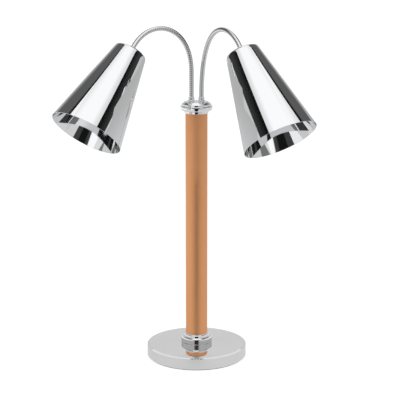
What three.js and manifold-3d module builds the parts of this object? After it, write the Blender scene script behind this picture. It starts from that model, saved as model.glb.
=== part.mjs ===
// Double-arm heat lamp for keeping food warm on a counter: a weighted disc base, a copper-coloured
// post and two goosenecks, each carrying a conical shade over a reflector bulb.
// Millimetres, +Z up. The origin is the centre of the base on the surface it stands on, and the
// lamp faces -Y: the post stands near the front edge of the base.

import * as THREE from 'three';
import { mergeVertices } from 'three/addons/utils/BufferGeometryUtils.js';
import Module from 'manifold-3d';

const wasm = await Module();
wasm.setup();

// Driving dimensions
const GAP = 0.3; // running or assembly clearance between neighbours
const BASE = { radius: 120.5, height: 29, wall: 1.6, edge: 2, pad: 2, plate: 2.5 };
const POST = { y: -85, radius: 25.4, wall: 1.5, foot: 30.25, joint: 46.25, top: 611 };
const COLLAR = { radius: 36, bottom: 41, middle: 64, shoulder: 79, top: 85 };
const CAP = { foot: 27.6, ring: 4.5, rim: 36.7, rounding: 8, top: 637, plate: 6, recess: 22 };
const PIPE = { radius: 6.5, bore: 4.5, bottom: 16, top: 600 };
const SPIGOT = { top: 76, gasket: 20.5 }; // the stub's plug inside the post tube, and the ring under it
const INSERT = { shelf: 585, web: 6, throat: 15, top: 620 }; // the plug in the upper end of the post
const WEIGHT = { channel: [10, 204, 18], pocket: 17, pocketTop: 21.5 };
const NUT = { pipe: 19, gland: 16, nipple: 14, height: 4 }; // widths across the flats
const NECK = { radius: 5.5, bore: 3.8, spread: 11.5, start: 638.5, straight: 12, step: 14 };
const FERRULE = { radius: 7.75, height: 10, nipple: 5, bore: 3.6, edge: 1.2 };
const HINGES = [58, 165, 252]; // distances along each gooseneck, from its lower end
const CUFF = { radius: 6.8, top: -9, bottom: -2.5, flange: 8.4, flangeTop: -2.2, end: 12 };
const SHADE = { top: 37, mouth: 83, length: 216, shoulder: 7, wall: 1 };
// Distances along a shade's axis from its closed end
const BULB = { radius: 60.5, neck: 12, glass: 2, start: 34, flare: 48, rim: 138, band: 7, face: 154.5 };
const CAP_SHELL = { tip: 4.5, shoulder: 5.5, radius: 13.2, start: 19, end: 47, solid: 7 };
const SOCKET = { radius: 19, start: 7, floor: 16, end: 46, shell: 14.6, liner: 14, contact: 4 };
const LEAD = { main: 2.6, lamp: 1.9, end: 13 };
const SCREW = { circle: 100, count: 4, head: 4.2, shank: 1.8, tip: 16 };
const GLAND = { z: 14, thread: 6, flange: 8.5, dome: 7, bore: 3.3, inner: -13, outer: 9 };
const SIDES = { base: 40, post: 28, shade: 32, bulb: 20, fitting: 16, small: 12, neck: 8, lead: 6 };

// How each gooseneck is bent at rest: a straight upright stretch, then a curve that leaves it with
// handle `lift` and meets the shade with handle `reach`. `top` is the centre of the shade's closed
// end. Azimuth turns from the front towards +X, and tilt from straight down.
const ARMS = [
  {
    side: 'left',
    x: -NECK.spread,
    upright: 60,
    lift: 111,
    reach: 85,
    top: [-145, -145, 757],
    azimuth: -44,
    tilt: 39,
  },
  {
    side: 'right',
    x: NECK.spread,
    upright: 5,
    lift: 184,
    reach: 67,
    top: [98, -221, 764],
    azimuth: 40,
    tilt: 35,
  },
];

const FINISH = {
  chrome: [0xc9cbcf, 0.12, 1],
  copper: [0xc88858, 0.34, 0.9],
  steel: [0x9a9ca0, 0.4, 0.9],
  iron: [0x3b3d40, 0.7, 0.4],
  brass: [0xb8934a, 0.3, 0.9],
  aluminium: [0xb9babc, 0.4, 0.9],
  rubber: [0x1b1b1c, 0.85, 0],
  porcelain: [0xece8df, 0.35, 0],
  glass: [0xf0ece4, 0.1, 0],
  insulation: [0xd8d2c4, 0.7, 0],
};

const group = new THREE.Group();

function addPart(name, geometry, finish, parent = group) {
  const [color, roughness, metalness] = FINISH[finish];
  const mesh = new THREE.Mesh(geometry, new THREE.MeshStandardMaterial({ color, roughness, metalness }));
  mesh.name = name;
  parent.add(mesh);
  return mesh;
}

// ---- solids -------------------------------------------------------------------------------------

// Shares the vertices of a closed surface and drops the slivers that collapse on an axis.
function closed(geometry) {
  const bare = new THREE.BufferGeometry();
  bare.setAttribute('position', geometry.getAttribute('position'));
  if (geometry.index) bare.setIndex(geometry.index);
  const merged = mergeVertices(bare, 1e-4);
  const index = merged.index.array;
  const kept = [];
  for (let i = 0; i < index.length; i += 3) {
    const [a, b, c] = [index[i], index[i + 1], index[i + 2]];
    if (a !== b && b !== c && c !== a) kept.push(a, b, c);
  }
  merged.setIndex(kept);
  return merged;
}

function toSolid(geometry) {
  const source = closed(geometry);
  return new wasm.Manifold(new wasm.Mesh({
    numProp: 3,
    vertProperties: new Float32Array(source.getAttribute('position').array),
    triVerts: new Uint32Array(source.index.array),
  }));
}

function toGeometry(solid) {
  const mesh = solid.getMesh();
  const geometry = new THREE.BufferGeometry();
  geometry.setAttribute('position', new THREE.BufferAttribute(mesh.vertProperties, 3));
  geometry.setIndex(new THREE.BufferAttribute(mesh.triVerts, 1));
  return geometry;
}

function cut(geometry, ...tools) {
  const solid = tools.reduce((left, tool) => left.subtract(toSolid(tool)), toSolid(geometry));
  return toGeometry(solid);
}

// A profile of [radius, z] points turned about Z. It runs up the outside and down the inside.
function turned(profile, sides) {
  const points = profile.map(([radius, z]) => new THREE.Vector2(radius, z));
  return closed(new THREE.LatheGeometry(points, sides).rotateX(Math.PI / 2));
}

function ring(inner, outer, low, high, sides) {
  return turned([[inner, low], [outer, low], [outer, high], [inner, high], [inner, low]], sides);
}

function disc(radius, low, high, sides) {
  return turned([[0, low], [radius, low], [radius, high], [0, high]], sides);
}

// Points on a round edge about [radius, z], from one angle to another in degrees, 0 being outwards.
function corner(centre, radius, from, to, steps) {
  return Array.from({ length: steps + 1 }, (_, i) => {
    const angle = THREE.MathUtils.degToRad(from + ((to - from) * i) / steps);
    return [centre[0] + radius * Math.cos(angle), centre[1] + radius * Math.sin(angle)];
  });
}

function hexNut(across, bore, low, high) {
  const reach = across / Math.sqrt(3);
  const corners = Array.from({ length: 6 }, (_, i) => {
    const angle = (i * Math.PI) / 3;
    return new THREE.Vector2(reach * Math.cos(angle), reach * Math.sin(angle));
  });
  const outline = new THREE.Shape(corners);
  outline.holes.push(new THREE.Path().absarc(0, 0, bore, 0, 2 * Math.PI));
  const options = { depth: high - low, bevelEnabled: false, curveSegments: 6 };
  const nut = new THREE.ExtrudeGeometry(outline, options);
  return closed(nut.translate(0, 0, low));
}

// A round bar of the given radius along a curve.
function bar(curve, radius, steps, sides) {
  const section = new THREE.Shape().absarc(0, 0, radius, 0, 2 * Math.PI);
  const options = { steps, bevelEnabled: false, curveSegments: sides / 2, extrudePath: curve };
  return closed(new THREE.ExtrudeGeometry(section, options));
}

// ---- base ---------------------------------------------------------------------------------------

function screwPlaces() {
  return Array.from({ length: SCREW.count }, (_, i) => {
    const angle = (Math.PI * (2 * i + 1)) / SCREW.count;
    return [SCREW.circle * Math.cos(angle), SCREW.circle * Math.sin(angle)];
  });
}

function screwShape(clearance) {
  const foot = BASE.pad - clearance;
  const cone = SCREW.head - SCREW.shank;
  const neck = BASE.pad + cone;
  const wide = SCREW.head + 2 * clearance;
  const slim = SCREW.shank + clearance;
  const tip = SCREW.tip + clearance;
  return turned([[0, foot], [wide, foot], [slim, neck], [slim, tip], [0, tip]], SIDES.small);
}

function buildBase() {
  const inside = BASE.radius - BASE.wall;
  const plateTop = BASE.pad + BASE.plate;
  const roof = BASE.height - BASE.wall;
  const through = BASE.height + BASE.pad;
  const postHole = disc(PIPE.radius + GAP, BASE.pad, through, SIDES.fitting).translate(0, POST.y, 0);
  const screwHoles = screwPlaces().map(([x, y]) => screwShape(GAP).translate(x, y, 0));

  addPart('base_pad', disc(inside - 3 * GAP, 0, BASE.pad, SIDES.base), 'rubber');

  const plate = disc(inside - GAP, BASE.pad, plateTop, SIDES.base);
  addPart('bottom_plate', cut(plate, ...screwHoles), 'steel');

  // The casting is hollowed under the post, along the lead's way to the back, and round the gland.
  const [width, length, rise] = WEIGHT.channel;
  const channel = new THREE.BoxGeometry(width, length, 2 * rise).translate(0, POST.y + length / 2, 0);
  const nutRoom = NUT.gland * 1.5;
  const glandRoom = new THREE.BoxGeometry(nutRoom, nutRoom, nutRoom)
    .translate(0, BASE.radius - 8, nutRoom / 2);
  const postRoom = disc(WEIGHT.pocket, 0, WEIGHT.pocketTop, SIDES.fitting).translate(0, POST.y, 0);
  const weight = disc(inside - GAP, plateTop, roof - 2 * GAP, SIDES.base);
  addPart('base_weight', cut(weight, channel, glandRoom, postRoom, postHole, ...screwHoles), 'iron');

  const cover = turned([
    [inside, BASE.pad],
    [BASE.radius, BASE.pad],
    [BASE.radius, BASE.height - BASE.edge],
    ...corner([BASE.radius - BASE.edge, BASE.height - BASE.edge], BASE.edge, 30, 90, 2),
    [0, BASE.height],
    [0, roof],
    [inside, roof],
    [inside, BASE.pad],
  ], SIDES.base);
  const glandHole = disc(GLAND.thread + GAP, -10, 10, SIDES.fitting)
    .rotateX(Math.PI / 2)
    .translate(0, BASE.radius, GLAND.z);
  addPart('base_cover', cut(cover, postHole, glandHole), 'chrome');

  screwPlaces().forEach(([x, y], i) => {
    addPart(`plate_screw_${i + 1}`, screwShape(0), 'steel').position.set(x, y, 0);
  });
}

// The gland's own axis points out of the back of the base.
function buildGland() {
  const gland = new THREE.Group();
  gland.position.set(0, BASE.radius, GLAND.z);
  gland.rotation.x = -Math.PI / 2;
  group.add(gland);
  const rounding = 3;
  addPart('cord_gland', turned([
    [GLAND.bore, GLAND.inner],
    [GLAND.thread, GLAND.inner],
    [GLAND.thread, GAP],
    [GLAND.flange, GAP],
    [GLAND.flange, rounding],
    ...corner([GLAND.dome - rounding, GLAND.outer - rounding], rounding, 0, 90, 2),
    [GLAND.bore, GLAND.outer],
    [GLAND.bore, GLAND.inner],
  ], SIDES.small), 'rubber', gland);
  addPart('gland_nut', hexNut(NUT.gland, GLAND.thread + GAP, -2 * NUT.height, -NUT.height), 'steel', gland);
}

// ---- post ---------------------------------------------------------------------------------------

function buildFoot() {
  const bore = PIPE.radius + GAP;
  const spigot = POST.radius - POST.wall - GAP;
  const foot = new THREE.Group();
  foot.position.y = POST.y;
  group.add(foot);

  addPart('foot_gasket', ring(bore, SPIGOT.gasket, BASE.height, POST.foot, SIDES.post), 'rubber', foot);
  const edge = 2.5;
  addPart('post_stub', turned([
    [bore, POST.foot],
    ...corner([POST.radius - edge, POST.foot + edge], edge, -90, 0, 3),
    [POST.radius, POST.joint],
    [spigot, POST.joint],
    [spigot, SPIGOT.top],
    [bore, SPIGOT.top],
    [bore, POST.foot],
  ], SIDES.post), 'copper', foot);

  addPart('tie_pipe', ring(PIPE.bore, PIPE.radius, PIPE.bottom, PIPE.top, SIDES.small), 'steel', foot);
  // A nut and a washer pull the pipe down against the roof of the pocket in the weight.
  const washerTop = WEIGHT.pocketTop;
  const washerFoot = washerTop - BASE.wall;
  addPart('tie_washer', ring(bore, WEIGHT.pocket - 3, washerFoot, washerTop, SIDES.fitting), 'steel', foot);
  addPart('tie_nut_lower', hexNut(NUT.pipe, bore, washerFoot - NUT.height, washerFoot), 'steel', foot);
}

function buildCollar() {
  const bore = POST.radius + GAP;
  const bevel = 0.5;
  const rounding = 5;
  const trim = { outer: 30.5, rounding: 3 };
  const coneTop = 53.5;
  const collar = new THREE.Group();
  collar.position.y = POST.y;
  group.add(collar);

  addPart('collar_lower', turned([
    [bore, COLLAR.bottom],
    [bore + 2 * GAP, COLLAR.bottom],
    [COLLAR.radius, coneTop],
    [COLLAR.radius, COLLAR.middle - bevel],
    [COLLAR.radius - bevel, COLLAR.middle],
    [bore, COLLAR.middle],
    [bore, COLLAR.bottom],
  ], SIDES.post), 'chrome', collar);

  addPart('collar_upper', turned([
    [bore, COLLAR.middle],
    [COLLAR.radius - bevel, COLLAR.middle],
    [COLLAR.radius, COLLAR.middle + bevel],
    ...corner([COLLAR.radius - rounding, COLLAR.shoulder - rounding], rounding, 0, 90, 3),
    [bore, COLLAR.shoulder],
    [bore, COLLAR.middle],
  ], SIDES.post), 'chrome', collar);

  addPart('collar_trim_ring', turned([
    [bore, COLLAR.shoulder],
    [trim.outer, COLLAR.shoulder],
    ...corner([trim.outer - trim.rounding, COLLAR.top - trim.rounding], trim.rounding, 0, 90, 2),
    [bore, COLLAR.top],
    [bore, COLLAR.shoulder],
  ], SIDES.post), 'chrome', collar);
}

function buildPost() {
  const inside = POST.radius - POST.wall;
  const bore = PIPE.radius + GAP;
  const web = INSERT.shelf + INSERT.web;
  const post = new THREE.Group();
  post.position.y = POST.y;
  group.add(post);

  addPart('post_tube', ring(inside, POST.radius, POST.joint, POST.top, SIDES.post), 'copper', post);
  addPart('top_insert', turned([
    [bore, INSERT.shelf],
    [inside - GAP, INSERT.shelf],
    [inside - GAP, POST.top],
    [CAP.recess - GAP, POST.top],
    [CAP.recess - GAP, INSERT.top],
    [INSERT.throat, INSERT.top],
    [INSERT.throat, web],
    [bore, web],
    [bore, INSERT.shelf],
  ], SIDES.fitting), 'steel', post);
  addPart('tie_nut_upper', hexNut(NUT.pipe, bore, web, web + NUT.height), 'steel', post);

  // A thin ring, a quarter-round moulding out to the widest rim, then two steps in to a flat top.
  const moulding = POST.top + CAP.ring + CAP.rounding;
  const cap = turned([
    [CAP.recess, POST.top],
    [CAP.foot, POST.top],
    [CAP.foot, POST.top + CAP.ring],
    ...corner([CAP.rim - CAP.rounding, moulding], CAP.rounding, -90, 0, 4),
    [CAP.rim, CAP.top - 9.5],
    [34.4, CAP.top - 7],
    [34.2, CAP.top - 4.5],
    [30, CAP.top - 2],
    [28, CAP.top],
    [0, CAP.top],
    [0, CAP.top - CAP.plate],
    [CAP.recess, CAP.top - CAP.plate],
    [CAP.recess, POST.top],
  ], SIDES.post);
  const hole = FERRULE.nipple + GAP;
  const drill = disc(hole, POST.top, 2 * CAP.top, SIDES.fitting);
  const neckHoles = ARMS.map((arm) => drill.clone().translate(arm.x, 0, 0));
  addPart('top_cap', cut(cap, ...neckHoles), 'chrome', post);
}

// The mains lead runs from the gland along the base, turns up into the tie pipe and ends above it.
function buildMainLead() {
  const turn = 8;
  const low = PIPE.bottom - turn;
  const bend = [15, 45, 75].map((degrees) => {
    const angle = THREE.MathUtils.degToRad(degrees);
    return [0, POST.y + turn - turn * Math.sin(angle), low + turn - turn * Math.cos(angle)];
  });
  const route = [
    [0, BASE.radius, GLAND.z],
    [0, 100, GLAND.z],
    [0, 84, 11],
    [0, 68, low],
    [0, -20, low],
    [0, POST.y + turn + 3, low],
    ...bend,
    [0, POST.y, PIPE.bottom + 3],
    [0, POST.y, 60],
    [0, POST.y, 300],
    [0, POST.y, PIPE.top - NUT.height],
  ];
  const curve = new THREE.CatmullRomCurve3(route.map((point) => new THREE.Vector3(...point)));
  curve.getPointAt = curve.getPoint; // the same number of steps between any two points of the route
  curve.getTangentAt = curve.getTangent;
  addPart('mains_lead', bar(curve, LEAD.main, 2 * (route.length - 1), SIDES.lead), 'insulation');
}

// ---- arms ---------------------------------------------------------------------------------------

// The stretch of a path between two distances along it.
class Stretch extends THREE.Curve {
  constructor(path, from, to) {
    super();
    this.path = path;
    this.from = from / path.getLength();
    this.to = to / path.getLength();
  }

  getPoint(t) {
    return this.path.getPoint(this.from + (this.to - this.from) * t);
  }
}

function shadeDirection(arm) {
  const azimuth = THREE.MathUtils.degToRad(arm.azimuth);
  const tilt = THREE.MathUtils.degToRad(arm.tilt);
  const out = Math.sin(tilt);
  return new THREE.Vector3(out * Math.sin(azimuth), -out * Math.cos(azimuth), -Math.cos(tilt));
}

// Centre line of a gooseneck, from `below` under its lower end, up, over, and into the shade.
function neckPath(arm, below) {
  const down = shadeDirection(arm);
  const shadeTop = new THREE.Vector3(...arm.top);
  const meet = shadeTop.clone().addScaledVector(down, -NECK.straight);
  const foot = new THREE.Vector3(arm.x, POST.y, NECK.start - below);
  const turn = new THREE.Vector3(arm.x, POST.y, NECK.start + 4.5 + arm.upright);
  const path = new THREE.CurvePath();
  path.add(new THREE.LineCurve3(foot, turn));
  path.add(new THREE.CubicBezierCurve3(
    turn,
    turn.clone().add(new THREE.Vector3(0, 0, arm.lift)),
    meet.clone().addScaledVector(down, -arm.reach),
    meet,
  ));
  path.add(new THREE.LineCurve3(meet, shadeTop.clone().addScaledVector(down, LEAD.end)));
  return path;
}

// One rigid link of a gooseneck. Its far end is a ball about the next hinge, and its near end is
// hollowed to clear the ball of the link before it.
function neckLink(path, from, to, nearBall, farBall) {
  const steps = Math.max(3, Math.round((to - from) / NECK.step));
  const lengthen = 8;
  let solid = toSolid(bar(new Stretch(path, from, to), NECK.radius, steps, SIDES.neck));
  if (farBall) {
    const at = path.getPoint(to / path.getLength());
    solid = solid.add(toSolid(new THREE.SphereGeometry(NECK.radius, 10, 6).translate(at.x, at.y, at.z)));
  }
  if (nearBall) {
    const at = path.getPoint(from / path.getLength());
    const clear = NECK.radius + 3 * GAP;
    solid = solid.subtract(toSolid(new THREE.SphereGeometry(clear, 12, 8).translate(at.x, at.y, at.z)));
  }
  const start = Math.max(0, from - lengthen);
  const end = Math.min(path.getLength(), to + lengthen);
  const hollow = bar(new Stretch(path, start, end), NECK.bore, steps + 1, SIDES.lead);
  return toGeometry(solid.subtract(toSolid(hollow)));
}

function buildNeck(arm) {
  const below = 14;
  const path = neckPath(arm, below);
  const neckEnd = path.getLength() - LEAD.end - 4;
  const hinges = HINGES.map((distance) => below + distance);
  const stations = [below, ...hinges, neckEnd];
  for (let i = 0; i < 4; i++) {
    addPart(
      `${arm.side}_neck_link_${i + 1}`,
      neckLink(path, stations[i], stations[i + 1], i > 0, i < 3),
      'chrome',
    );
  }
  // The lamp lead stops short of each hinge, clear of the turning balls.
  const leadEnds = [3, ...hinges, path.getLength() + 2];
  for (let i = 0; i < 4; i++) {
    const from = leadEnds[i] + (i ? NECK.radius + 2 : 0);
    const to = leadEnds[i + 1] - 2;
    const steps = Math.max(3, Math.round((to - from) / NECK.step));
    const lead = bar(new Stretch(path, from, to), LEAD.lamp, steps, SIDES.lead);
    addPart(`${arm.side}_lamp_lead_${i + 1}`, lead, 'insulation');
  }
}

function buildNeckFoot(arm) {
  const foot = new THREE.Group();
  foot.position.set(arm.x, POST.y, 0);
  group.add(foot);
  const recess = NECK.radius + GAP;
  const floor = NECK.start - 0.5;
  const bottom = CAP.top - CAP.plate - 7;
  const top = CAP.top + FERRULE.height;
  addPart(`${arm.side}_neck_ferrule`, turned([
    [FERRULE.bore, bottom],
    [FERRULE.nipple, bottom],
    [FERRULE.nipple, CAP.top],
    [FERRULE.radius, CAP.top],
    ...corner([FERRULE.radius - FERRULE.edge, top - FERRULE.edge], FERRULE.edge, 0, 90, 2),
    [recess, top],
    [recess, floor],
    [FERRULE.bore, floor],
    [FERRULE.bore, bottom],
  ], SIDES.fitting), 'chrome', foot);
  const under = CAP.top - CAP.plate;
  const nut = hexNut(NUT.nipple, FERRULE.nipple + GAP, under - NUT.height, under);
  addPart(`${arm.side}_neck_nut`, nut, 'steel', foot);
}

function shadeProfile(offset) {
  const slope = Math.atan2(SHADE.mouth - SHADE.top, SHADE.length);
  const radius = SHADE.shoulder - offset;
  const across = SHADE.top + SHADE.shoulder * Math.tan(slope) - SHADE.shoulder / Math.cos(slope);
  const bend = corner([across, SHADE.shoulder], radius, -90, -THREE.MathUtils.radToDeg(slope), 3);
  return [...bend, [SHADE.mouth - offset / Math.cos(slope), SHADE.length]];
}

function buildShade(arm, head) {
  const hole = FERRULE.nipple + GAP;
  const outer = shadeProfile(0);
  const inner = shadeProfile(SHADE.wall).reverse();
  const wall = turned([[hole, 0], ...outer, ...inner, [hole, SHADE.wall], [hole, 0]], SIDES.shade);
  addPart(`${arm.side}_shade`, wall, 'chrome', head);

  const recess = NECK.radius + GAP;
  const floor = -3;
  addPart(`${arm.side}_shade_ferrule`, turned([
    [FERRULE.bore, floor],
    [recess, floor],
    [recess, CUFF.top],
    [CUFF.radius, CUFF.top],
    [CUFF.radius, CUFF.bottom],
    [CUFF.flange, CUFF.flangeTop],
    [CUFF.flange, -GAP],
    [FERRULE.nipple, -GAP],
    [FERRULE.nipple, CUFF.end],
    [FERRULE.bore, CUFF.end],
    [FERRULE.bore, floor],
  ], SIDES.small), 'chrome', head);
  const nut = hexNut(NUT.nipple, hole, SHADE.wall + GAP, SHADE.wall + NUT.height);
  addPart(`${arm.side}_shade_nut`, nut, 'steel', head);
}

function buildSocket(arm, head) {
  const hole = FERRULE.nipple + GAP;
  const rounding = 3;
  addPart(`${arm.side}_socket`, turned([
    [hole, SOCKET.start],
    [SOCKET.radius - rounding - 1, SOCKET.start],
    ...corner([SOCKET.radius - rounding, SOCKET.start + rounding], rounding, -60, 0, 2),
    [SOCKET.radius, SOCKET.end - 8],
    [SOCKET.radius - 1.5, SOCKET.end],
    [SOCKET.shell + GAP, SOCKET.end],
    [SOCKET.shell + GAP, SOCKET.floor],
    [hole, SOCKET.floor],
    [hole, SOCKET.start],
  ], SIDES.fitting), 'porcelain', head);
  const shell = ring(SOCKET.liner, SOCKET.shell, SOCKET.floor + GAP, SOCKET.end - 2, SIDES.fitting);
  addPart(`${arm.side}_socket_shell`, shell, 'brass', head);
  const contact = disc(SOCKET.contact, SOCKET.floor, SOCKET.floor + 2, SIDES.small);
  addPart(`${arm.side}_socket_contact`, contact, 'brass', head);
}

function bulbProfile(offset) {
  const steps = 5;
  const reflector = Array.from({ length: steps + 1 }, (_, i) => {
    const share = (i / steps) ** 2;
    const depth = BULB.flare + share * (BULB.rim - BULB.flare);
    return [BULB.neck + (BULB.radius - BULB.neck) * Math.sqrt(share) - offset, depth];
  });
  const bulge = BULB.face - BULB.rim - BULB.band;
  const lens = Array.from({ length: 4 }, (_, i) => {
    const out = 1 - i / 3;
    return [(BULB.radius - 2 * offset) * out, BULB.face - offset - bulge * out * out];
  });
  return [[BULB.neck - offset, BULB.start], ...reflector, ...lens];
}

function buildBulb(arm, head) {
  const glass = [...bulbProfile(0), ...bulbProfile(BULB.glass).reverse(), [BULB.neck, BULB.start]];
  addPart(`${arm.side}_bulb_glass`, turned(glass, SIDES.bulb), 'glass', head);
  const inner = BULB.neck + 2 * GAP;
  const floor = CAP_SHELL.start + CAP_SHELL.solid;
  addPart(`${arm.side}_bulb_base`, turned([
    [0, CAP_SHELL.start],
    [CAP_SHELL.tip, CAP_SHELL.start],
    [CAP_SHELL.shoulder, CAP_SHELL.start + 2.5],
    [CAP_SHELL.radius, CAP_SHELL.start + 5],
    [CAP_SHELL.radius, CAP_SHELL.end],
    [inner, CAP_SHELL.end],
    [inner, floor],
    [0, floor],
  ], SIDES.bulb), 'aluminium', head);
}

function buildArm(arm) {
  buildNeckFoot(arm);
  buildNeck(arm);
  const head = new THREE.Group();
  head.position.set(...arm.top);
  head.quaternion.setFromUnitVectors(new THREE.Vector3(0, 0, 1), shadeDirection(arm));
  group.add(head);
  buildShade(arm, head);
  buildSocket(arm, head);
  buildBulb(arm, head);
}

buildBase();
buildGland();
buildFoot();
buildCollar();
buildPost();
buildMainLead();
ARMS.forEach(buildArm);

export default group;
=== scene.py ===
import math

import bpy
from mathutils import Matrix, Vector


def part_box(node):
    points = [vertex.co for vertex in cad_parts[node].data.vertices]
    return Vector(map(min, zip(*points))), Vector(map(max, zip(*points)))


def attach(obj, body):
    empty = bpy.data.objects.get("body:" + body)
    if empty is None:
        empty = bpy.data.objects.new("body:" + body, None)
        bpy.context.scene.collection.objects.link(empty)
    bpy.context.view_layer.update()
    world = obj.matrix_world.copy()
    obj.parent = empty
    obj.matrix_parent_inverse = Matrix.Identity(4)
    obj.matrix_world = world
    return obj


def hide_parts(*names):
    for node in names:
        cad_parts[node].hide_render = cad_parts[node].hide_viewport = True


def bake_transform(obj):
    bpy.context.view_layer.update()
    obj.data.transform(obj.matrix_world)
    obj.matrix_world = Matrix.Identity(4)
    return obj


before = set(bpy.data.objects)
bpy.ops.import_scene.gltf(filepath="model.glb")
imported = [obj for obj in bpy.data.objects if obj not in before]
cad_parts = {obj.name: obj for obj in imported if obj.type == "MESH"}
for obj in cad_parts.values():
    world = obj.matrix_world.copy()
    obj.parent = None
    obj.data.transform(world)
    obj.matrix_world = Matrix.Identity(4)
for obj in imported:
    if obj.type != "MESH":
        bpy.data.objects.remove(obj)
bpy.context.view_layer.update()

# Double-arm food heat lamp. Lengths are millimetres, apart from those of the camera and the studio,
# and every mesh is written in metres. +Z is up, and the lamp faces -Y, towards the edge of the base
# that its post stands near.
MM = 0.001

# ---- dimensions ---------------------------------------------------------------------------------

BASE = {"radius": 120.5, "height": 29.0, "bevel": 6.0, "drop": 1.2, "corner": 0.4, "pad": 2.0, "wall": 1.6}
POST = {"radius": 25.4, "wall": 1.5, "foot": 30.25, "foot_edge": 2.5, "joint": 46.25, "top": 611.0}
PLUG = {"bore": 6.8, "top": 76.0, "clearance": 0.3, "ring": 20.5}
COLLAR = {"radius": 36.0, "bottom": 41.0, "cone": 50.5, "swell": 0.8, "middle": 64.0, "shoulder": 79.0,
          "shoulder_rounding": 5.0, "top": 85.0, "bevel": 0.5, "clearance": 0.3}
TRIM = {"radius": 30.5, "rounding": 3.0}
CAP = {"foot": 27.6, "ring": 615.5, "rim": 36.7, "rounding": 8.0, "top": 637.0, "plate": 631.0,
       "recess": 22.0, "ledge": 1.0}
# The cap's four steps from the rim inwards: outer radius, height of the top, rounding of the edge.
CAP_STEPS = ((36.7, 628.2, 1.8), (34.3, 632.6, 1.4), (30.6, 635.0, 1.0), (28.2, 637.0, 0.8))
NECK = {"radius": 5.5, "start": 638.5, "straight": 12.0, "pitch": 4.6, "groove": 0.25, "lead": 1.9,
        "foot": 4.5, "inside": 13.0, "short": 17.0}
FERRULE = {"radius": 7.75, "height": 10.0, "bore": 5.8, "lead_hole": 3.6, "nipple": 5.0, "flange": 1.6,
           "sleeve": 6.9, "bottom": 624.0, "stop": 638.0}
CUFF = {"radius": 6.8, "top": -9.0, "flange": 8.4, "end": 12.0, "stop": -3.0}
SHADE = {"top": 37.0, "mouth": 83.0, "length": 216.0, "shoulder": 7.0, "wall": 1.0, "bell": 2.8,
         "hole": 5.3, "lip": 0.5}
SOCKET = {"radius": 19.0, "start": 7.0, "floor": 16.0, "end": 46.0, "bore": 14.9, "rounding": 3.0}
BULB = {"radius": 60.5, "neck": 12.0, "glass": 2.0, "start": 34.0, "flare": 48.0, "rim": 138.0,
        "band": 7.0, "face": 154.5}
SCREW = {"radius": 12.75, "depth": 0.45, "turns": 7, "pitch": 3.0, "start": 25.0, "end": 47.0}
GLAND = {"flange": 8.5, "flange_back": 0.3, "flange_front": 3.0, "edge": 0.6, "dome": 7.0,
         "rounding": 3.0, "bore": 3.3, "inner": -13.0, "thread": 6.0, "outer": 9.0}

# How each gooseneck is bent at rest: upright for a stretch, then one curve into its shade. "top"
# is the centre of the shade's closed end, and hinges and splits are distances along the gooseneck.
ARMS = {
    "left": {"x": -11.5, "upright": 60, "lift": 111, "reach": 85, "top": (-145, -145, 757),
             "azimuth": -44, "tilt": 39},
    "right": {"x": 11.5, "upright": 5, "lift": 184, "reach": 67, "top": (98, -221, 764),
              "azimuth": 40, "tilt": 35},
}
HINGES = (58, 165, 252)

post_low, post_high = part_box("post_tube")
POST_X = (post_low.x + post_high.x) / 2 / MM
POST_Y = (post_low.y + post_high.y) / 2 / MM

# ---- camera -------------------------------------------------------------------------------------

camera = bpy.data.objects.new("camera", bpy.data.cameras.new("camera"))
camera.data.lens = 110.8
camera.data.sensor_width = 36.0
camera.data.clip_end = 100.0
camera.location = (0.0, -2.880, 1.027)
camera.rotation_euler = (math.radians(90 - 12.52), 0.0, -0.0029)
bpy.context.collection.objects.link(camera)
bpy.context.scene.camera = camera
bpy.context.scene.view_settings.view_transform = "Standard"

# ---- shaders ------------------------------------------------------------------------------------


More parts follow.
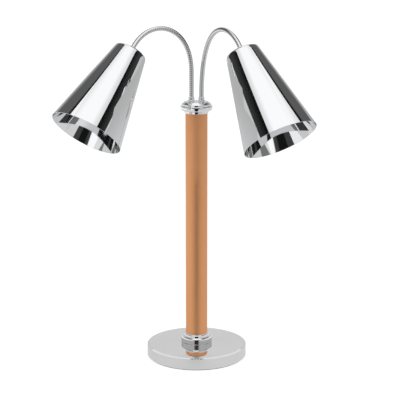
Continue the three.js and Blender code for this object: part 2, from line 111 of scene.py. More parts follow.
class Shader:
    """A Principled material under construction, with short calls for the nodes that feed it."""

    def __init__(self, name, colour, metallic=0.0, roughness=0.5):
        self.material = bpy.data.materials.new(name)
        self.material.use_nodes = True
        self.material.diffuse_color = (*colour, 1.0)
        self.tree = self.material.node_tree
        self.surface = self.tree.nodes["Principled BSDF"]
        self.set("Base Color", (*colour, 1.0))
        self.set("Metallic", metallic)
        self.set("Roughness", roughness)

    def set(self, socket, value):
        self.surface.inputs[socket].default_value = value

    def link(self, socket, output):
        self.tree.links.new(output, self.surface.inputs[socket])

    def node(self, kind, **settings):
        made = self.tree.nodes.new(kind)
        for key, value in settings.items():
            setattr(made, key, value)
        return made

    def position(self, source="Object"):
        """The piece's own coordinates in metres, or its UV."""
        return self.node("ShaderNodeTexCoord").outputs[source]

    def noise(self, scale, detail=2.0):
        made = self.node("ShaderNodeTexNoise")
        made.inputs["Scale"].default_value = scale
        made.inputs["Detail"].default_value = detail
        self.tree.links.new(self.position(), made.inputs["Vector"])
        return made.outputs["Fac"]

    def rings(self, spacing):
        """Uneven circles round the piece, as a polishing wheel leaves, spaced in millimetres."""
        split = self.node("ShaderNodeSeparateXYZ")
        self.tree.links.new(self.position("UV"), split.inputs[0])
        made = self.node("ShaderNodeTexNoise", noise_dimensions="1D")
        made.inputs["Scale"].default_value = 1.0 / (spacing * MM)
        made.inputs["Detail"].default_value = 3.0
        self.tree.links.new(split.outputs["Y"], made.inputs["W"])
        return made.outputs["Fac"]

    def between(self, value, low, high):
        """Spreads a noise value, which seldom leaves 0.3 to 0.7, over a range."""
        made = self.node("ShaderNodeMapRange")
        made.inputs["From Min"].default_value = 0.3
        made.inputs["From Max"].default_value = 0.7
        made.inputs["To Min"].default_value = low
        made.inputs["To Max"].default_value = high
        self.tree.links.new(value, made.inputs["Value"])
        return made.outputs["Result"]

    def tint(self, value, first, second):
        """A colour that goes from first to second with a noise value."""
        made = self.node("ShaderNodeMix", data_type="RGBA")
        made.inputs["A"].default_value = (*first, 1.0)
        made.inputs["B"].default_value = (*second, 1.0)
        self.tree.links.new(self.between(value, 0.0, 1.0), made.inputs["Factor"])
        self.link("Base Color", made.outputs["Result"])

    def bump(self, height, depth, strength=1.0, under=None):
        """Relief of the given depth in millimetres, on top of another bump where one is given."""
        made = self.node("ShaderNodeBump")
        made.inputs["Strength"].default_value = strength
        made.inputs["Distance"].default_value = depth * MM
        self.tree.links.new(height, made.inputs["Height"])
        if under:
            self.tree.links.new(under, made.inputs["Normal"])
        self.link("Normal", made.outputs["Normal"])
        return made.outputs["Normal"]


def polished_chrome():
    """Mirror plating, with faint polishing circles and a slight haze that comes and goes."""
    shader = Shader("polished_chrome", (0.84, 0.845, 0.855), metallic=1.0)
    shader.link("Roughness", shader.between(shader.noise(22.0), 0.02, 0.06))
    marks = shader.bump(shader.rings(0.8), 0.0005)
    shader.bump(shader.noise(9.0, detail=1.0), 0.012, under=marks)
    return shader.material


def satin_chrome():
    """Blasted and lacquered plating: an even sheen with a fine grain."""
    shader = Shader("satin_chrome", (0.80, 0.80, 0.805), metallic=1.0)
    shader.tint(shader.noise(6.0), (0.79, 0.79, 0.795), (0.82, 0.82, 0.823))
    shader.link("Roughness", shader.between(shader.noise(240.0), 0.28, 0.34))
    shader.bump(shader.noise(2600.0, detail=1.0), 0.0006)
    return shader.material


def turned_chrome_painted_shade():
    """Fine-turned plating: sharp round the piece and blurred along it. Its colour is painted shade: darker
    than the polished chrome, to stand for the dark surroundings that the rings reflect.
    """
    # painted shade: a base colour of 0.5 and rings from 0.40 to 0.58, where the same plating elsewhere is
    # 0.84
    shader = Shader("turned_chrome_painted_shade", (0.50, 0.502, 0.506), metallic=1.0)
    shader.link("Roughness", shader.between(shader.rings(0.5), 0.12, 0.22))
    shader.tint(shader.rings(0.9), (0.40, 0.402, 0.406), (0.58, 0.582, 0.586))
    shader.bump(shader.rings(0.3), 0.006)
    return shader.material


def flexible_chrome():
    shader = Shader("flexible_chrome", (0.72, 0.725, 0.735), metallic=1.0)
    shader.link("Roughness", shader.between(shader.noise(300.0), 0.03, 0.07))
    return shader.material


def satin_copper():
    """Copper-coloured plating over a fine round-and-round grain."""
    shader = Shader("satin_copper", (0.83, 0.41, 0.195), metallic=1.0)
    shader.tint(shader.noise(7.0), (0.82, 0.404, 0.19), (0.84, 0.416, 0.2))
    shader.link("Roughness", shader.between(shader.rings(0.3), 0.50, 0.56))
    shader.bump(shader.rings(0.25), 0.003)
    return shader.material


def plain_metal(name, colour, low, high, grain, depth):
    """A metal with a roughness from low to high, in a grain of some size, and a relief in millimetres."""
    shader = Shader(name, colour, metallic=1.0)
    darker = tuple(0.9 * c for c in colour)
    shader.tint(shader.noise(grain / 4), darker, colour)
    shader.link("Roughness", shader.between(shader.noise(grain), low, high))
    shader.bump(shader.noise(grain * 4), depth)
    return shader.material


def plain_solid(name, colour, low, high, grain, depth):
    """The same for rubber, nylon, porcelain and insulation."""
    shader = Shader(name, colour)
    lighter = tuple(min(1.0, 1.12 * c + 0.004) for c in colour)
    shader.tint(shader.noise(grain / 5), colour, lighter)
    shader.link("Roughness", shader.between(shader.noise(grain), low, high))
    shader.bump(shader.noise(grain * 2), depth)
    return shader.material


def stippled_glass():
    """The pressed lens of a reflector bulb: clear glass dimpled all over."""
    shader = Shader("stippled_glass", (0.93, 0.92, 0.90), roughness=0.12)
    shader.set("Transmission Weight", 0.85)
    shader.set("IOR", 1.47)
    dimples = shader.node("ShaderNodeTexVoronoi", feature="SMOOTH_F1")
    dimples.inputs["Scale"].default_value = 420.0
    shader.tree.links.new(shader.position(), dimples.inputs["Vector"])
    shader.bump(dimples.outputs["Distance"], 0.6, strength=0.8)
    return shader.material


def silvered_glass():
    shader = Shader("silvered_glass", (0.86, 0.86, 0.85), metallic=1.0)
    shader.link("Roughness", shader.between(shader.noise(90.0), 0.10, 0.20))
    shader.bump(shader.noise(60.0), 0.05)
    return shader.material


CHROME = polished_chrome()
SATIN = satin_chrome()
TURNED_PAINTED_SHADE = turned_chrome_painted_shade()
FLEXIBLE = flexible_chrome()
COPPER = satin_copper()
LENS = stippled_glass()
SILVERED = silvered_glass()
ZINC = plain_metal("zinc_steel", (0.62, 0.63, 0.65), 0.28, 0.42, 400.0, 0.01)
BRASS = plain_metal("socket_brass", (0.72, 0.52, 0.22), 0.22, 0.34, 300.0, 0.01)
ALUMINIUM = plain_metal("bulb_cap", (0.72, 0.72, 0.73), 0.25, 0.38, 350.0, 0.01)
IRON = plain_metal("cast_iron", (0.09, 0.09, 0.095), 0.55, 0.75, 250.0, 0.15)
RUBBER = plain_solid("pad_rubber", (0.018, 0.018, 0.019), 0.6, 0.8, 500.0, 0.03)
NYLON = plain_solid("gland_nylon", (0.022, 0.022, 0.024), 0.35, 0.5, 700.0, 0.01)
PORCELAIN = plain_solid("porcelain", (0.80, 0.77, 0.70), 0.10, 0.2, 60.0, 0.03)
SLEEVING = plain_solid("lead_insulation", (0.70, 0.66, 0.58), 0.55, 0.75, 900.0, 0.05)

# ---- shapes -------------------------------------------------------------------------------------


def arc(centre, radius, start, end, steps=8):
    """[radius, z] points on a round edge, from one angle to another in degrees, 0 outwards."""
    points = []
    for i in range(steps + 1):
        angle = math.radians(start + (end - start) * i / steps)
        points.append((centre[0] + radius * math.cos(angle), centre[1] + radius * math.sin(angle)))
    return points


def piece(name, vertices, faces, layout, material, sharp=35.0):
    """A smooth-shaded mesh. The layout holds a [u, v] for each corner of each face."""
    mesh = bpy.data.meshes.new(name)
    mesh.from_pydata([tuple(v * MM for v in point) for point in vertices], [], faces)
    corners = mesh.uv_layers.new(name="layout").data
    corners.foreach_set("uv", [value for corner in layout for value in corner])
    mesh.materials.append(material)
    mesh.polygons.foreach_set("use_smooth", [True] * len(mesh.polygons))
    mesh.set_sharp_from_angle(angle=math.radians(sharp))
    mesh.update()
    made = bpy.data.objects.new(name, mesh)
    bpy.context.collection.objects.link(made)
    return made


def turned(name, profile, material, sides=96, sharp=35.0):
    """A profile of [radius, z] points turned about Z, up the outside and down the inside. It
    starts and ends on the axis, or closes on itself."""
    closed = profile[0][0] > 0
    rings = []
    vertices = []
    for radius, z in profile:
        start = len(vertices)
        if radius <= 0:
            vertices.append((0.0, 0.0, z))
            rings.append([start] * sides)
            continue
        for k in range(sides):
            angle = 2 * math.pi * k / sides
            vertices.append((radius * math.cos(angle), radius * math.sin(angle), z))
        rings.append(list(range(start, start + sides)))
    travel = [0.0]
    for a, b in zip(profile, profile[1:] + profile[:1]):
        travel.append(travel[-1] + math.dist(a, b) * MM)
    if closed:
        rings.append(rings[0])
    faces = []
    layout = []
    for i in range(len(rings) - 1):
        low, high = rings[i], rings[i + 1]
        for k in range(sides):
            around = (k, k + 1, k + 1, k)
            up = (i, i, i + 1, i + 1)
            corners = (low[k], low[(k + 1) % sides], high[(k + 1) % sides], high[k])
            kept = {vertex: (a / sides, travel[u]) for vertex, a, u in zip(corners, around, up)}
            if len(kept) > 2:
                faces.append(tuple(kept))
                layout.extend(kept.values())
    return piece(name, vertices, faces, layout, material, sharp)


def place(made, body, nodes, at=None):
    """Puts a piece in the frame, on its body, in the place of its CAD nodes."""
    if at is not None:
        made.data.transform(at)
    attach(made, body)
    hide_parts(*nodes)
    return made


def coat(made, material, picked):
    """Gives a second material to the faces that the test picks, by their height in millimetres."""
    made.data.materials.append(material)
    for face in made.data.polygons:
        if picked(face.center.z / MM):
            face.material_index = 1


def keep_out_of_mirrors(made):
    """The plating shows no trace of this piece."""
    made.visible_glossy = False


def upright(x=0.0, y=0.0):
    return Matrix.Translation(Vector((x, y, 0.0)) * MM)


ON_POST = upright(POST_X, POST_Y)

# ---- base and post ------------------------------------------------------------------------------


def build_base():
    """A hollow satin cover with a bright bevel round its top, and the pad that it stands on."""
    radius, height, corner = BASE["radius"], BASE["height"], BASE["corner"]
    bevel, drop = BASE["bevel"], BASE["drop"]
    inside, roof, foot = radius - BASE["wall"], height - BASE["wall"], BASE["pad"]
    cover = [(0.0, roof), (inside, roof), (inside, foot), (radius - corner, foot), (radius, foot + corner)]
    cover += [(radius, height - drop), (radius - bevel, height), (0.0, height)]
    made = turned("weighted_base", cover, SATIN, sides=160, sharp=8.0)
    coat(made, CHROME, lambda z: height - 0.9 * drop < z < height - 0.1 * drop)
    place(made, "stand", ["base_cover"])
    rounding, gap = 0.5, 0.9
    pad = [(0.0, 0.0)] + arc((inside - gap - rounding, rounding), rounding, -90, 0, 4)
    pad += [(inside - gap, foot), (0.0, foot)]
    place(turned("foot_pad", pad, RUBBER, sides=160), "stand", ["base_pad"])


def build_gland():
    """The nylon gland at the back, empty: its flange, dome and the threaded part inside the base."""
    low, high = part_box("cord_gland")
    axis = Matrix.Rotation(math.radians(-90), 4, "X")
    at = Matrix.Translation(((low.x + high.x) / 2, BASE["radius"] * MM, (low.z + high.z) / 2)) @ axis
    flange, rounding, bore, edge = GLAND["flange"], GLAND["rounding"], GLAND["bore"], GLAND["edge"]
    back, front, outer = GLAND["flange_back"], GLAND["flange_front"], GLAND["outer"]
    profile = [(bore, GLAND["inner"]), (GLAND["thread"], GLAND["inner"])]
    profile += [(GLAND["thread"], back), (flange, back)] + arc((flange - edge, front - edge), edge, 0, 90, 3)
    profile += arc((GLAND["dome"] - rounding, outer - rounding), rounding, 0, 90)
    profile += [(bore + 0.5, outer), (bore, outer - edge)]
    place(turned("gland", profile, NYLON, sides=48), "stand", ["cord_gland"], at)


def build_post():
    """The post's tube, the turned foot that plugs into it, and the rubber ring under the foot."""
    radius, joint, foot = POST["radius"], POST["joint"], POST["foot"]
    inside, bore, edge = radius - POST["wall"], PLUG["bore"], POST["foot_edge"]
    spigot = inside - PLUG["clearance"]
    tube = [(inside, joint), (radius, joint), (radius, POST["top"]), (inside, POST["top"])]
    stub = [(bore, foot)] + arc((radius - edge, foot + edge), edge, -90, 0)
    stub += [(radius, joint), (spigot, joint), (spigot, PLUG["top"]), (bore, PLUG["top"])]
    ring = [(bore, BASE["height"]), (PLUG["ring"], BASE["height"]), (PLUG["ring"], foot), (bore, foot)]
    for name, profile, material, slot, node in (
        ("post", tube, COPPER, "post_copper", "post_tube"),
        ("post_foot", stub, COPPER, "post_copper", "post_stub"),
        ("foot_ring", ring, RUBBER, "pad_rubber", "foot_gasket"),
    ):
        keep_out_of_mirrors(place(turned(name, profile, material), "stand", [node], ON_POST))


def build_collar():
    """Two fine-turned rings in chrome darkened with painted shade, with a bright chamfer below and a bright
    shoulder above, and a bright trim ring over them."""
    bore, radius, bevel = POST["radius"] + COLLAR["clearance"], COLLAR["radius"], COLLAR["bevel"]
    bottom, cone, middle = COLLAR["bottom"], COLLAR["cone"], COLLAR["middle"]
    shoulder, top = COLLAR["shoulder"], COLLAR["top"]
    lower = [(bore, bottom)] + arc((bore + 0.5, bottom + 0.3), 0.3, -90, -40, 3)
    start = bore + 0.7
    for i in range(1, 9):
        share = i / 8
        swell = COLLAR["swell"] * 4 * share * (1 - share)
        lower.append((start + (radius - start) * share + swell, bottom + (cone - bottom) * share))
    lower += [(radius, middle - bevel), (radius - bevel, middle), (bore, middle)]
    collar = turned("collar_lower_ring", lower, TURNED_PAINTED_SHADE)
    coat(collar, CHROME, lambda z: z < cone)
    keep_out_of_mirrors(place(collar, "stand", ["collar_lower"], ON_POST))
    rounding = COLLAR["shoulder_rounding"]
    upper = [(bore, middle), (radius - bevel, middle), (radius, middle + bevel)]
    upper += arc((radius - rounding, shoulder - rounding), rounding, 0, 90, 12) + [(bore, shoulder)]
    band = turned("collar_upper_ring", upper, TURNED_PAINTED_SHADE)
    coat(band, CHROME, lambda z: z > shoulder - rounding + 0.1)
    keep_out_of_mirrors(place(band, "stand", ["collar_upper"], ON_POST))
    trim = [(bore, shoulder), (TRIM["radius"], shoulder)]
    trim += arc((TRIM["radius"] - TRIM["rounding"], top - TRIM["rounding"]), TRIM["rounding"], 0, 90, 10)
    trim += [(bore, top)]
    place(turned("collar_trim", trim, CHROME), "stand", ["collar_trim_ring"], ON_POST)


def build_cap():
    """A thin ring on the post's end, a quarter round swelling out to the rim, and low rounded steps."""
    foot, ring, rim, rounding = CAP["foot"], CAP["ring"], CAP["rim"], CAP["rounding"]
    recess, plate, base = CAP["recess"], CAP["plate"], POST["top"]
    profile = [(0.0, plate), (recess, plate), (recess, base), (foot - 0.4, base), (foot, base + 0.4)]
    profile += [(foot, ring)] + arc((rim - rounding, ring + rounding), rounding, -90, 0, 20)
    for reach, top, edge in CAP_STEPS:
        profile += arc((reach - edge, top - edge), edge, 0, 90, 5)
        profile.append((reach - edge - CAP["ledge"], top))
    profile[-1] = (0.0, CAP["top"])
    place(turned("post_cap", profile, CHROME, sides=128), "stand", ["top_cap"], ON_POST)


# ---- arms ---------------------------------------------------------------------------------------


def shade_direction(arm):
    azimuth, tilt = math.radians(arm["azimuth"]), math.radians(arm["tilt"])
    out = math.sin(tilt)
    return Vector((out * math.sin(azimuth), -out * math.cos(azimuth), -math.cos(tilt)))


def neck_points(arm, steps=400):
    """Closely spaced points up the middle of a gooseneck, from its foot into the shade."""
    down = shade_direction(arm)
    shade_top = Vector(arm["top"])
    meet = shade_top - down * NECK["straight"]
    turn = Vector((arm["x"], POST_Y, NECK["start"] + NECK["foot"] + arm["upright"]))
    handles = (turn, turn + Vector((0, 0, arm["lift"])), meet - down * arm["reach"], meet)
    points = [Vector((arm["x"], POST_Y, NECK["start"]))]
    for i in range(steps + 1):
        t = i / steps
        weights = ((1 - t) ** 3, 3 * t * (1 - t) ** 2, 3 * t * t * (1 - t), t ** 3)
        points.append(sum((h * w for h, w in zip(handles, weights)), Vector()))
    points.append(shade_top + down * NECK["inside"])
    return points


def along(points):
    """Distance of each point along the line that they make."""
    distances = [0.0]
    for a, b in zip(points, points[1:]):
        distances.append(distances[-1] + (b - a).length)
    return distances


def stations(points, start, end, count):
    """Evenly spaced places between two distances along a line, each with its direction."""
    distances = along(points)
    found = []
    k = 0
    for i in range(count + 1):
        wanted = start + (end - start) * i / count
        while k < len(points) - 2 and distances[k + 1] < wanted:
            k += 1
        share = (wanted - distances[k]) / (distances[k + 1] - distances[k])
        found.append((points[k].lerp(points[k + 1], share), (points[k + 1] - points[k]).normalized()))
    return found


def swept(name, places, radii, material, sides):
    """A tube through the given places, with a radius at each, and a UV map round and along it."""
    side = Vector((1, 0, 0)).cross(places[0][1]).normalized()
    vertices = []
    for (centre, direction), radius in zip(places, radii):
        side = (side - direction * side.dot(direction)).normalized()
        other = direction.cross(side)
        for k in range(sides):
            angle = 2 * math.pi * k / sides
            vertices.append(centre + (side * math.cos(angle) + other * math.sin(angle)) * radius)
    travel = along([centre * MM for centre, _ in places])
    faces = []
    layout = []
    for i in range(len(places) - 1):
        low, high = i * sides, (i + 1) * sides
        for k in range(sides):
            after = (k + 1) % sides
            faces.append((low + k, low + after, high + after, high + k))
            for around, up in ((k, i), (k + 1, i), (k + 1, i + 1), (k, i + 1)):
                layout.append((around / sides, travel[up]))
    return piece(name, vertices, faces, layout, material, sharp=180.0)


def rib_radius(distance):
    """The gooseneck is wound in round ribs with a narrow groove between them."""
    rise = abs(math.sin(math.pi * distance / NECK["pitch"]))
    return NECK["radius"] - NECK["groove"] * (1 - rise ** 0.6)


def build_neck(side, arm):
    """Each gooseneck and its lead are made in three pieces, split in grooves half-way between the hinge
    places."""
    points = neck_points(arm)
    total, pitch = along(points)[-1], NECK["pitch"]
    top = total - NECK["short"]
    ends = (0.0,) + HINGES + (top,)
    middles = [pitch * round((a + b) / 2 / pitch) for a, b in zip(ends, ends[1:])]
    splits = (0.0, middles[1], middles[2], pitch * int(top / pitch))
    nodes = (("1", "2"), ("3",), ("4",))
    for i in range(3):
        start, end = splits[i], splits[i + 1]
        steps = 12 * round((end - start) / pitch)
        places = stations(points, start, end, steps)
        radii = [rib_radius(start + (end - start) * k / steps) for k in range(steps + 1)]
        neck = swept(f"{side}_gooseneck_{i + 1}", places, radii, FLEXIBLE, sides=32)
        lead_end = end if i < 2 else total
        lead_places = stations(points, start, lead_end, round((lead_end - start) / 3))
        lead = swept(f"{side}_lead_{i + 1}", lead_places, [NECK["lead"]] * len(lead_places), SLEEVING, 12)
        for made, slot, kind in ((neck, "chrome", "neck_link"), (lead, "lead_insulation", "lamp_lead")):
            keep_out_of_mirrors(made)
            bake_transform(made)
            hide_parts(*[f"{side}_{kind}_{n}" for n in nodes[i]])


def build_ferrules(side, arm, head):
    """A smooth cuff where the gooseneck leaves the cap, and a flange and cuff where it meets the shade."""
    base, top = CAP["top"], CAP["top"] + FERRULE["height"]
    radius, bore, hole, nipple = FERRULE["radius"], FERRULE["bore"], FERRULE["lead_hole"], FERRULE["nipple"]
    sleeve, flange = FERRULE["sleeve"], base + FERRULE["flange"]
    profile = [(hole, FERRULE["bottom"]), (nipple, FERRULE["bottom"]), (nipple, base), (radius, base)]
    profile += [(radius, flange)] + arc((radius - 0.6, flange), 0.6, 0, 90, 4)
    profile += [(sleeve, flange + 1.0), (sleeve, top - 1.0)] + arc((sleeve - 0.8, top - 0.8), 0.8, 0, 90, 5)
    profile += [(bore, top), (bore, FERRULE["stop"]), (hole, FERRULE["stop"])]
    foot = turned(f"{side}_lower_ferrule", profile, CHROME, sides=48)
    place(foot, "stand", [f"{side}_neck_ferrule"], upright(arm["x"], POST_Y))
    outer, lip, stop, end = CUFF["radius"], CUFF["flange"], CUFF["stop"], CUFF["end"]
    cuff = [(hole, end), (hole, stop), (bore, stop), (bore, CUFF["top"]), (outer - 0.3, CUFF["top"])]
    cuff += [(outer, CUFF["top"] + 0.4), (outer, stop + 0.4), (lip - 0.4, stop + 0.7), (lip, stop + 1.1)]
    cuff += [(lip, -0.3), (nipple, -0.3), (nipple, end)]
    made = turned(f"{side}_upper_ferrule", cuff[::-1], CHROME, sides=48)
    place(made, f"{side}_head", [f"{side}_shade_ferrule"], head)


def shade_wall(offset, bell, steps):
    """Closed end, rounded shoulder and flare of a shade, moved inwards by an offset. The flare is
    straight, or hollowed like a bell by up to the given depth."""
    slope = math.atan2(SHADE["mouth"] - SHADE["top"], SHADE["length"])
    shoulder, end = SHADE["shoulder"], SHADE["length"] - SHADE["lip"]
    across = SHADE["top"] + shoulder * math.tan(slope) - shoulder / math.cos(slope)
    wall = arc((across, shoulder), shoulder - offset, -90, -math.degrees(slope), steps)
    start, mouth = wall[-1], SHADE["mouth"] - offset / math.cos(slope)
    for i in range(1, 3 * steps + 1):
        share = i / (3 * steps)
        hollow = bell * 4 * share * (1 - share)
        wall.append((start[0] + (mouth - start[0]) * share - hollow, start[1] + (end - start[1]) * share))
    return wall


def build_shade(side, head):
    outer = shade_wall(0.0, 0.0, 10)
    inner = shade_wall(SHADE["wall"], SHADE["bell"], 10)[::-1]
    lip, hole = SHADE["lip"], SHADE["hole"]
    rolled = arc((SHADE["mouth"] - lip + 0.11, SHADE["length"] - lip), lip - 0.05, 0, 180, 6)
    profile = [(hole, 0.0)] + outer + rolled + inner + [(hole, SHADE["wall"])]
    made = turned(f"{side}_cone_shade", profile, CHROME, sides=192, sharp=50.0)
    place(made, f"{side}_head", [f"{side}_shade"], head)


def build_socket(side, head):
    """A porcelain cup with a narrower neck that the bulb screws into."""
    radius, start, end, rounding = SOCKET["radius"], SOCKET["start"], SOCKET["end"], SOCKET["rounding"]
    hole, bore, floor = SHADE["hole"], SOCKET["bore"], SOCKET["floor"]
    profile = [(hole, start), (radius - rounding, start)]
    profile += arc((radius - rounding, start + rounding), rounding, -90, 0, 6)
    profile += [(radius, end - 9.0), (radius - 0.8, end - 8.0), (radius - 1.5, end - 1.0)]
    profile += arc((radius - 2.5, end - 1.0), 1.0, 0, 90, 4)
    profile += [(bore, end), (bore, floor), (hole, floor)]
    body = turned(f"{side}_lamp_holder", profile, PORCELAIN, sides=64)
    place(body, f"{side}_head", [f"{side}_socket"], head)


def bulb_wall(offset, steps=24):
    """Neck and reflector of the bulb: a parabola from the neck out to the rim."""
    points = [(BULB["neck"] - offset, BULB["start"])]
    for i in range(steps + 1):
        share = (i / steps) ** 2
        depth = BULB["flare"] + share * (BULB["rim"] - BULB["flare"])
        out = (BULB["radius"] - BULB["neck"]) * math.sqrt(share)
        points.append((BULB["neck"] + out - offset, depth))
    return points


def lens_face(offset, steps=16):
    """The bulb's front: a short straight band, then a shallow dome."""
    bulge = BULB["face"] - BULB["rim"] - BULB["band"]
    points = []
    for i in range(steps + 1):
        out = 1 - i / steps
        points.append(((BULB["radius"] - 2 * offset) * out, BULB["face"] - offset - bulge * out * out))
    return points


def screw_profile():
    """The bulb's screw base: a closed tip, the round thread, and its inner wall."""
    radius, depth, start, end = SCREW["radius"], SCREW["depth"], SCREW["start"], SCREW["end"]
    wall = radius - depth - 0.1
    profile = [(0.0, start - 6.0), (4.5, start - 6.0), (5.5, start - 3.5), (wall, start - 1.0)]
    for i in range(SCREW["turns"] * 6 + 1):
        share = i / 6
        profile.append((radius + depth * math.cos(2 * math.pi * share), start + SCREW["pitch"] * share))
    return profile + [(wall + 0.4, end), (wall, end), (wall, start + 1.0), (0.0, start + 1.0)]


def build_bulb(side, head):
    outer = bulb_wall(0.0) + lens_face(0.0)
    inner = (bulb_wall(BULB["glass"]) + lens_face(BULB["glass"]))[::-1]
    made = turned(f"{side}_reflector_bulb", inner + outer, SILVERED, sides=96, sharp=60.0)
    coat(made, LENS, lambda z: z > BULB["rim"] + 1.0)
    place(made, f"{side}_head", [f"{side}_bulb_glass"], head)
    screw = turned(f"{side}_bulb_screw", screw_profile(), ALUMINIUM, sides=48)
    place(screw, f"{side}_head", [f"{side}_bulb_base"], head)


def build_arm(side):
    arm = ARMS[side]
    turn = Vector((0, 0, 1)).rotation_difference(shade_direction(arm)).to_matrix().to_4x4()
    head = Matrix.Translation(Vector(arm["top"]) * MM) @ turn
    build_neck(side, arm)
    build_ferrules(side, arm, head)
    build_shade(side, head)
    build_socket(side, head)
    build_bulb(side, head)


# ---- CAD pieces that show as they are ------------------------------------------------------------

CARRIED = {
    "bottom_plate": ZINC,
    "base_weight": IRON,
    "gland_nut": ZINC,
    "tie_pipe": ZINC,
    "tie_washer": ZINC,
    "tie_nut_lower": ZINC,
    "tie_nut_upper": ZINC,
    "top_insert": ZINC,
    "mains_lead": SLEEVING,
}


def finish_carried():
    finishes = dict(CARRIED)
    for i in range(1, 5):
        finishes[f"plate_screw_{i}"] = ZINC
    for side in ARMS:
        finishes[f"{side}_neck_nut"] = ZINC
        finishes[f"{side}_shade_nut"] = ZINC
        finishes[f"{side}_socket_shell"] = BRASS
        finishes[f"{side}_socket_contact"] = BRASS
    for name, material in finishes.items():
        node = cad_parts[name]
        node.data.materials.clear()
        node.data.materials.append(material)


# ---- studio -------------------------------------------------------------------------------------

# Every place and size in the studio is in metres: how far off its cards stand, how far its discs reach.
SIDE_M, REAR_M, FRONT_M = 1.2, 3.0, -3.1
FLOOR_M, CEILING_M, REFLECTED_M = 45.0, 5.0, 12.0
BRIGHT_FLOOR, WORLD_STRENGTH = 0.78, 1.1


def emission(name, low, high=None, axis="X", start=0.0, end=1.0):
    """A glow of one strength, or one that goes smoothly from low to high between two distances
    along an axis, in metres."""
    material = bpy.data.materials.new(name)
    material.use_nodes = True
    tree = material.node_tree
    tree.nodes.clear()
    output = tree.nodes.new("ShaderNodeOutputMaterial")
    light = tree.nodes.new("ShaderNodeEmission")
    light.inputs["Strength"].default_value = low
    tree.links.new(light.outputs[0], output.inputs["Surface"])
    if high is not None:
        where = tree.nodes.new("ShaderNodeTexCoord")
        split = tree.nodes.new("ShaderNodeSeparateXYZ")
        spread = tree.nodes.new("ShaderNodeMapRange")
        spread.interpolation_type = "SMOOTHSTEP"
        for socket, value in zip(spread.inputs[1:5], (start, end, low, high)):
            socket.default_value = value
        tree.links.new(where.outputs["Object"], split.inputs[0])
        tree.links.new(split.outputs[axis], spread.inputs["Value"])
        tree.links.new(spread.outputs["Result"], light.inputs["Strength"])
    return material


def stage_mesh(name, corners, material):
    mesh = bpy.data.meshes.new(name)
    mesh.from_pydata(corners, [], [tuple(range(len(corners)))])
    mesh.materials.append(material)
    made = bpy.data.objects.new(name, mesh)
    bpy.context.collection.objects.link(made)
    return made


def card(name, corners, material):
    """A studio card that shows only as a reflection."""
    made = stage_mesh(name, corners, material)
    made.visible_camera = False
    made.visible_diffuse = False
    made.visible_transmission = False
    made.visible_shadow = False
    return made


def side_card(name, x, y, z, material, slant=0.0):
    """An upright card beside the lamp, spanning y and z. It slants up towards the front."""
    rise = slant * (y[1] - y[0])
    corners = [(x, y[0], z[0] + rise), (x, y[1], z[0]), (x, y[1], z[1]), (x, y[0], z[1] + rise)]
    return card(name, corners, material)


def front_card(name, x, y, z, material):
    """An upright card in front of or behind the lamp, spanning x and z."""
    corners = [(x[0], y, z[0]), (x[1], y, z[0]), (x[1], y, z[1]), (x[0], y, z[1])]
    return card(name, corners, material)


def build_world():
    world = bpy.data.worlds.new("studio")
    world.use_nodes = True
    world.node_tree.nodes["Background"].inputs["Color"].default_value = (1.0, 1.0, 1.0, 1.0)
    world.node_tree.nodes["Background"].inputs["Strength"].default_value = WORLD_STRENGTH
    bpy.context.scene.world = world


def disc(radius, height):
    """Corners of a large level disc round the origin."""
    turns = [2 * math.pi * k / 64 for k in range(64)]
    return [(radius * math.cos(turn), radius * math.sin(turn), height) for turn in turns]


def build_floor():
    material = bpy.data.materials.new("pale_floor")
    material.use_nodes = True
    surface = material.node_tree.nodes["Principled BSDF"]
    surface.inputs["Base Color"].default_value = (0.3, 0.3, 0.3, 1.0)
    surface.inputs["Roughness"].default_value = 1.0
    surface.inputs["Specular IOR Level"].default_value = 0.0
    surface.inputs["Emission Color"].default_value = (1.0, 1.0, 1.0, 1.0)
    surface.inputs["Emission Strength"].default_value = BRIGHT_FLOOR
    keep_out_of_mirrors(stage_mesh("floor", disc(FLOOR_M, -0.0002), material))


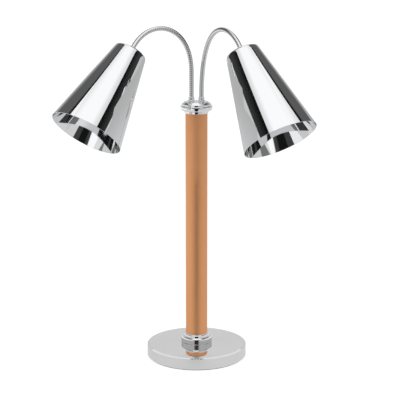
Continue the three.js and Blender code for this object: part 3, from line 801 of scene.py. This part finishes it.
def build_cards():
    """What the plating reflects: a floor that is brightest on the left, a soft ceiling, dark cards in
    front where the camera stands, dark and grey cards at the sides and behind, a grey card between the
    shades that hides each from the other, and a dark wedge on the floor in front of the post."""
    black = emission("black_card", 0.008)
    dim = emission("dim_card", 0.05)
    pale = emission("pale_card", 0.66)
    side_black = emission("side_black_card", 0.045, 0.006, axis="Z", start=0.9, end=1.8)
    side_pale = emission("side_pale_card", 0.68, 0.46, axis="Y", start=-0.6, end=1.6)
    side_grey = emission("side_grey_card", 0.2)
    between = emission("between_card", 0.66, 0.5, axis="Z", start=0.5, end=0.7)
    side_soft = emission("side_soft_card", 0.82, 1.12, axis="Z", start=1.8, end=3.4)
    rear = emission("rear_card", 0.115, 0.5, axis="Y", start=0.9, end=2.2)
    roof = emission("ceiling_glow", 0.86, 1.13, axis="Y", start=0.4, end=-1.3)
    glow = emission("floor_glow", 0.72, 0.97, axis="X", start=-0.2, end=-1.6)
    card("floor_mirrored", disc(REFLECTED_M, 0.0), glow)
    card("ceiling_mirrored", disc(REFLECTED_M, CEILING_M), roof)
    for side, away in (("left", -1), ("right", 1)):
        x = SIDE_M * away
        # The black card stands a little nearer, so it covers the edges of the two behind it.
        side_card(f"{side}_black", 0.99 * x, (-1.4, 0.6), (0.74, 1.38), side_black, slant=0.36)
        side_card(f"{side}_low", x, (-0.6, 3.0), (0.5, 1.2), side_pale)
        side_card(f"{side}_low_front", x, (-1.6, -0.6), (0.5, 1.2), side_grey)
        side_card(f"{side}_soft", x, (-1.6, 0.0), (1.2, 3.4), side_soft)
        side_card(f"{side}_edge", x, (0.0, 0.17), (1.2, CEILING_M), black)
        side_card(f"{side}_rear", x, (0.17, 2.5), (1.2, CEILING_M), rear)
    front_card("rear_pale", (-1.2, 1.2), REAR_M, (0.0, 1.6), pale)
    front_card("camera_dark", (-1.3, 1.3), FRONT_M, (0.84, 1.4), black)
    front_card("camera_dim", (-2.1, 2.1), FRONT_M - 0.05, (0.3, 1.68), dim)
    front_card("camera_stand", (-0.79, 0.79), FRONT_M + 0.05, (0.0, 0.32), black)
    side_card("between_shades", 0.0, (-0.30, 0.6), (0.45, 0.725), between)
    side_card("between_mouths", 0.0, (-0.38, -0.30), (0.45, 0.67), between)
    build_camera_gap(black)


def build_camera_gap(black):
    """The dark wedge on the floor, in metres: it opens from near the post towards the camera."""
    post = POST_Y * MM
    near, far, spread = 0.16, 3.0, 0.264
    gap = [(-near * spread, post - near, 0.001), (near * spread, post - near, 0.001),
           (far * spread, post - far, 0.001), (-far * spread, post - far, 0.001)]
    card("camera_gap", gap, black)


build_base()
build_gland()
build_post()
build_collar()
build_cap()
for side_name in ARMS:
    build_arm(side_name)
finish_carried()
build_world()
build_floor()
build_cards()
